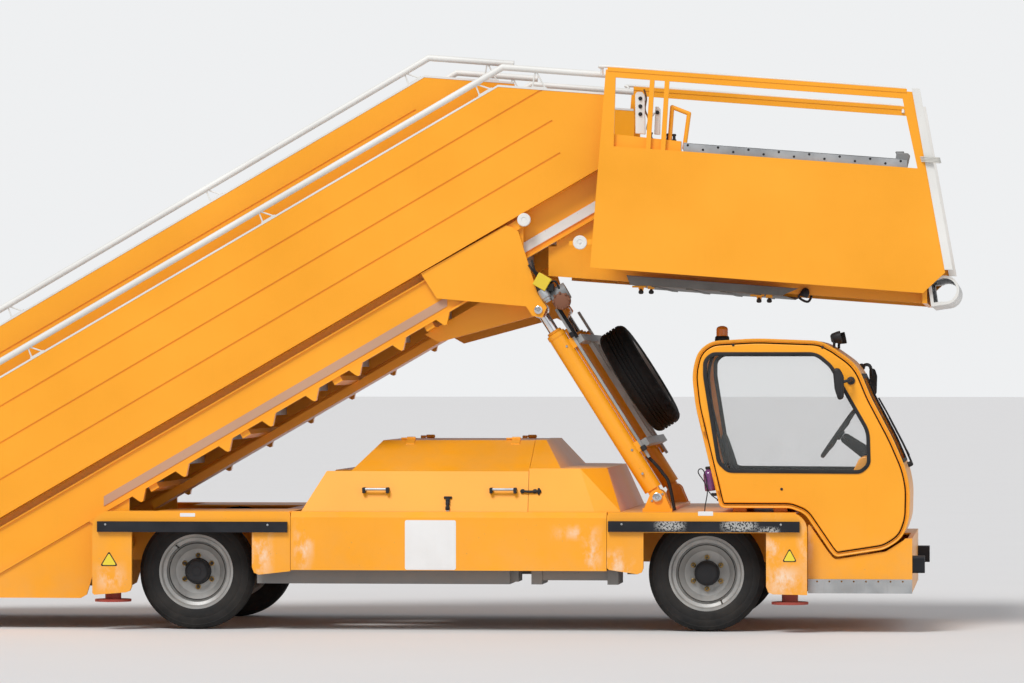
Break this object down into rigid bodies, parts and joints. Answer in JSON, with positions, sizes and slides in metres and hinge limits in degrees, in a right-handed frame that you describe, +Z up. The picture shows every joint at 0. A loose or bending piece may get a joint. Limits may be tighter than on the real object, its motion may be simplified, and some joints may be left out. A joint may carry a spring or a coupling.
{
  "type": "mobile aircraft stairs",
  "caption": "Self-propelled passenger stairs: a tilting, telescoping stair with a guarded platform on a four-wheel truck with an offset cab.",
  "frame": {"origin": "centre of the bounding box at ground level, the tyres standing on Z = 0", "axes": "+X towards the nose of the truck and the platform, +Y to the far side (the vehicle's left), +Z up"},
  "size_m": [7.4888, 2.352, 3.7248],
  "materials": {
    "orange_paint": "semi-gloss safety orange enamel, lightly dusty",
    "white_paint": "satin off-white enamel",
    "galvanised": "galvanised and silver-painted steel, dull",
    "tread_metal": "ribbed aluminium tread, dull",
    "tyre": "worn black tyre rubber, dusty",
    "black_rubber": "matt black rubber",
    "black_plastic": "matt black plastic",
    "machinery": "grey machinery, oily and dusty",
    "axle_paint": "matt black chassis paint",
    "jack_paint": "worn red primer",
    "chrome_rod": "hard-chromed cylinder rod",
    "glass": "slightly grey clear glass"
  },
  "bodies": {
    "chassis": {"chassis_frame": "orange_paint", "deck_plates": "orange_paint", "fenders": "orange_paint", "side_panels": "orange_paint", "rub_strips": "black_rubber", "engine_hood_front": "orange_paint", "engine_and_tanks": "machinery", "front_apron": "orange_paint", "step_strip": "galvanised", "axle_beams": "axle_paint", "cab_shell": "orange_paint", "cab_base": "orange_paint", "cab_side_far": "orange_paint", "cab_glass": "glass", "cab_interior": "black_plastic", "cab_fittings": "black_plastic"},
    "lid_near": {"engine_lid_near": "orange_paint"},
    "lid_far": {"engine_lid_far": "orange_paint"},
    "cab_door": {"cab_door_near": "orange_paint", "cab_door_glass": "glass"},
    "knuckle_near": {"knuckle_near": "axle_paint"},
    "knuckle_far": {"knuckle_far": "axle_paint"},
    "wheel_rear_near": {"tyre_rear_near": "tyre", "rim_rear_near": "galvanised"},
    "wheel_rear_far": {"tyre_rear_far": "tyre", "rim_rear_far": "galvanised"},
    "wheel_front_near": {"tyre_front_near": "tyre", "rim_front_near": "galvanised"},
    "wheel_front_far": {"tyre_front_far": "tyre", "rim_front_far": "galvanised"},
    "jacks_rear": {"jacks_rear": "jack_paint"},
    "jacks_front": {"jacks_front": "jack_paint"},
    "lift_barrels": {"lift_barrels": "orange_paint", "spare_tyre": "tyre", "spare_carrier": "galvanised"},
    "lift_rods": {"lift_rods": "chrome_rod"},
    "lower_flight": {"lower_stringers": "orange_paint", "lower_steps": "tread_metal", "inner_walls": "orange_paint", "inner_handrails": "white_paint", "lift_brackets": "orange_paint", "slide_motor": "machinery"},
    "upper_flight": {"upper_stringers": "orange_paint", "platform_frame": "orange_paint", "platform_beams": "orange_paint", "upper_steps": "tread_metal", "outer_walls": "orange_paint", "outer_handrails": "white_paint", "nose_bumper": "white_paint"},
    "guard_near": {"guard_near": "orange_paint", "guard_edge_near": "white_paint", "console": "orange_paint"},
    "guard_far": {"guard_far": "orange_paint", "guard_edge_far": "white_paint"}
  },
  "joints": [
    {"name": "stairs_tilt", "type": "hinge", "parent": "chassis", "child": "lower_flight", "pos_m": [-1.685, 0, 0.64], "axis": [0, -1, 0], "range_deg": [0, 5.4]},
    {"name": "stairs_extend", "type": "slide", "parent": "lower_flight", "child": "upper_flight", "axis": [0.866, 0, 0.5], "range_m": [0, 2]},
    {"name": "guard_near_slide", "type": "slide", "parent": "upper_flight", "child": "guard_near", "axis": [0.9969, 0, -0.0785], "range_m": [0, 0.45]},
    {"name": "guard_far_slide", "type": "slide", "parent": "upper_flight", "child": "guard_far", "axis": [0.9969, 0, -0.0785], "range_m": [0, 0.45]},
    {"name": "lift_leg_hinge", "type": "hinge", "parent": "chassis", "child": "lift_barrels", "pos_m": [1.807, 0, 0.861], "axis": [0, -1, 0], "range_deg": [-0.47, 0]},
    {"name": "lift_rod_slide", "type": "slide", "parent": "lift_barrels", "child": "lift_rods", "axis": [-0.5337, 0, 0.8457], "range_m": [0, 0.292]},
    {"name": "steer_near", "type": "hinge", "parent": "chassis", "child": "knuckle_near", "pos_m": [2.125, -0.76, 0.374], "axis": [0, 0, 1], "range_deg": [-30, 30]},
    {"name": "steer_far", "type": "hinge", "parent": "chassis", "child": "knuckle_far", "pos_m": [2.125, 0.76, 0.374], "axis": [0, 0, 1], "range_deg": [-30, 30]},
    {"name": "spin_rear_near", "type": "hinge", "parent": "chassis", "child": "wheel_rear_near", "pos_m": [-1.185, -0.8775, 0.374], "axis": [0, 1, 0], "continuous": true},
    {"name": "spin_rear_far", "type": "hinge", "parent": "chassis", "child": "wheel_rear_far", "pos_m": [-1.185, 0.8775, 0.374], "axis": [0, 1, 0], "continuous": true},
    {"name": "spin_front_near", "type": "hinge", "parent": "knuckle_near", "child": "wheel_front_near", "pos_m": [2.125, -0.8775, 0.374], "axis": [0, 1, 0], "continuous": true},
    {"name": "spin_front_far", "type": "hinge", "parent": "knuckle_far", "child": "wheel_front_far", "pos_m": [2.125, 0.8775, 0.374], "axis": [0, 1, 0], "continuous": true},
    {"name": "jacks_rear_lower", "type": "slide", "parent": "chassis", "child": "jacks_rear", "axis": [0, 0, -1], "range_m": [0, 0.175]},
    {"name": "jacks_front_lower", "type": "slide", "parent": "chassis", "child": "jacks_front", "axis": [0, 0, -1], "range_m": [0, 0.175]},
    {"name": "lid_near_open", "type": "hinge", "parent": "chassis", "child": "lid_near", "pos_m": [0.315, -0.558, 1.234], "axis": [1, 0, 0], "range_deg": [-35, 0]},
    {"name": "lid_far_open", "type": "hinge", "parent": "chassis", "child": "lid_far", "pos_m": [0.315, 0.558, 1.234], "axis": [1, 0, 0], "range_deg": [0, 35]},
    {"name": "cab_door_open", "type": "hinge", "parent": "chassis", "child": "cab_door", "pos_m": [2.23061, -1.078, 0.80027], "axis": [-0.2337, 0, 0.9723], "range_deg": [-70, 0]}
  ],
  "couplings": [
    {"joint": "lift_leg_hinge", "follows": "stairs_tilt", "ratio": -0.0856},
    {"joint": "lift_rod_slide", "follows": "stairs_tilt", "m_per_rad": 3.078},
    {"joint": "steer_far", "follows": "steer_near", "ratio": 1}
  ]
}
